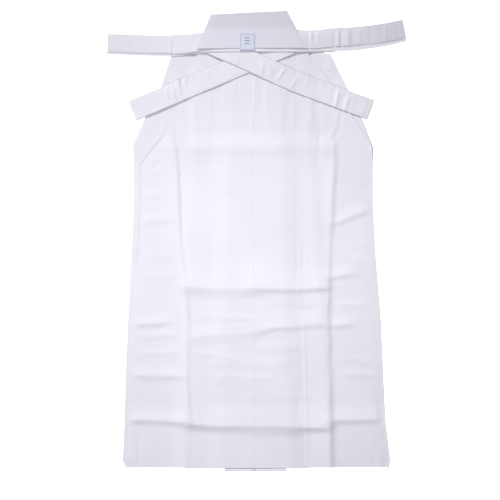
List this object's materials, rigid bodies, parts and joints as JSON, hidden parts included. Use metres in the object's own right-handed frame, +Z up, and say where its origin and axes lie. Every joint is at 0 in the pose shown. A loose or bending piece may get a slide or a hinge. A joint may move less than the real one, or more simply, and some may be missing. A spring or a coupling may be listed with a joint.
{
  "type": "hakama",
  "caption": "Pleated hakama laid flat with its back upwards: slanted side openings, centre back pleat, waist board with label, crossed front ties and folded back ties.",
  "frame": {"origin": "on the surface, under the middle of the whole laid-out garment", "axes": "+Z up from the surface, +Y from the hem to the waist board, +X towards the wearer's right, which is the viewer's right seen from the back"},
  "size_m": [0.6592, 1.0084, 0.0294],
  "materials": {
    "cloth": "matt white plain weave",
    "cloth_underside": "matt white plain weave",
    "ties": "matt white plain weave, doubled and topstitched",
    "board": "white cloth over a stiff core",
    "label": "pale blue woven label"
  },
  "bodies": {
    "root": {"front_panel_left": "cloth_underside", "front_panel_right": "cloth_underside", "gusset_left": "cloth_underside", "gusset_right": "cloth_underside", "back_panel_left": "cloth", "back_panel_right": "cloth", "front_waistband": "ties", "front_tie_left": "ties", "front_tie_right": "ties", "back_tie_left": "ties", "back_tie_right": "ties", "waist_board": "board", "label": "label"}
  },
  "joints": []
}
